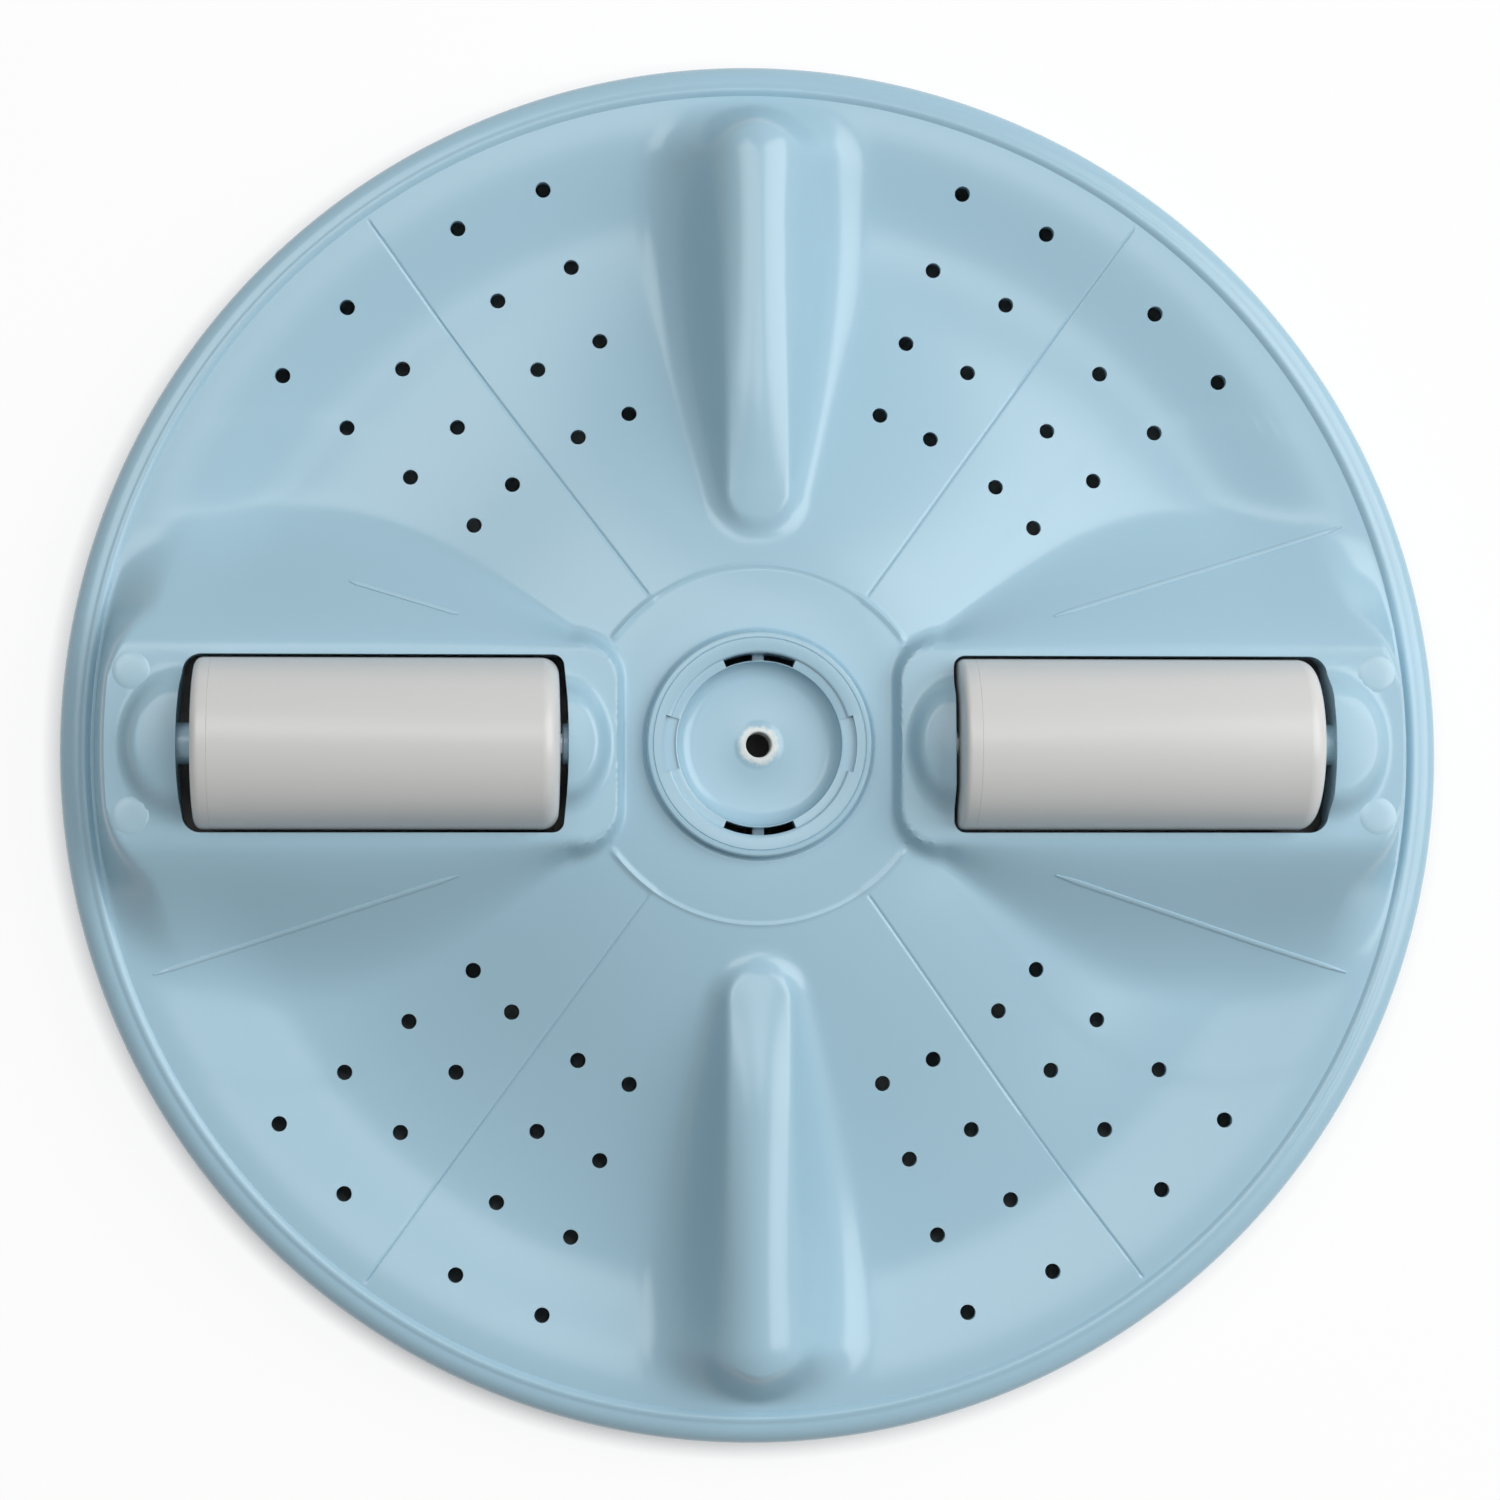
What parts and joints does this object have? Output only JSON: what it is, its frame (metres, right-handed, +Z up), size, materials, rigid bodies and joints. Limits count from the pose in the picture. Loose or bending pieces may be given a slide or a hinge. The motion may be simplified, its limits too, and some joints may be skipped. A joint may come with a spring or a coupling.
{
  "type": "washing machine pulsator",
  "caption": "Dished round pulsator with raised ridges, rows of drain holes, a splined hub with an open cap recess, and smooth rollers turning in windows on the humps.",
  "frame": {"origin": "centre of the skirt's bottom edge, on the drive axis, in the plane that the disc rests on", "axes": "+Z up along the drive axis, out of the washed side; +X along both roller axes; +Y along the plain ridges"},
  "size_m": [0.34, 0.34, 0.0567],
  "materials": {
    "disc_plastic": "glossy moulded polypropylene, pale grey-blue",
    "roller_plastic": "satin moulded plastic, warm off-white",
    "retainer_plastic": "moulded polypropylene, pale grey-blue",
    "insert_steel": "sintered and machined stainless steel",
    "pin_steel": "ground stainless steel rod",
    "screw_steel": "stainless steel"
  },
  "bodies": {
    "pulsator": {"pulsator_disc": "disc_plastic", "shaft_insert": "insert_steel", "right_axle_pin": "pin_steel", "right_axle_retainer": "retainer_plastic", "right_retainer_screw_1": "screw_steel", "right_retainer_screw_2": "screw_steel", "left_axle_pin": "pin_steel", "left_axle_retainer": "retainer_plastic", "left_retainer_screw_1": "screw_steel", "left_retainer_screw_2": "screw_steel"},
    "right_roller": {"right_roller": "roller_plastic", "right_roller_end_cap": "roller_plastic"},
    "left_roller": {"left_roller": "roller_plastic", "left_roller_end_cap": "roller_plastic"}
  },
  "joints": [
    {"name": "right_roller_spin", "type": "hinge", "parent": "pulsator", "child": "right_roller", "pos_m": [0.0919, 0, 0.036], "axis": [1, 0, 0], "continuous": true},
    {"name": "left_roller_spin", "type": "hinge", "parent": "pulsator", "child": "left_roller", "pos_m": [-0.0919, 0, 0.036], "axis": [1, 0, 0], "continuous": true}
  ]
}
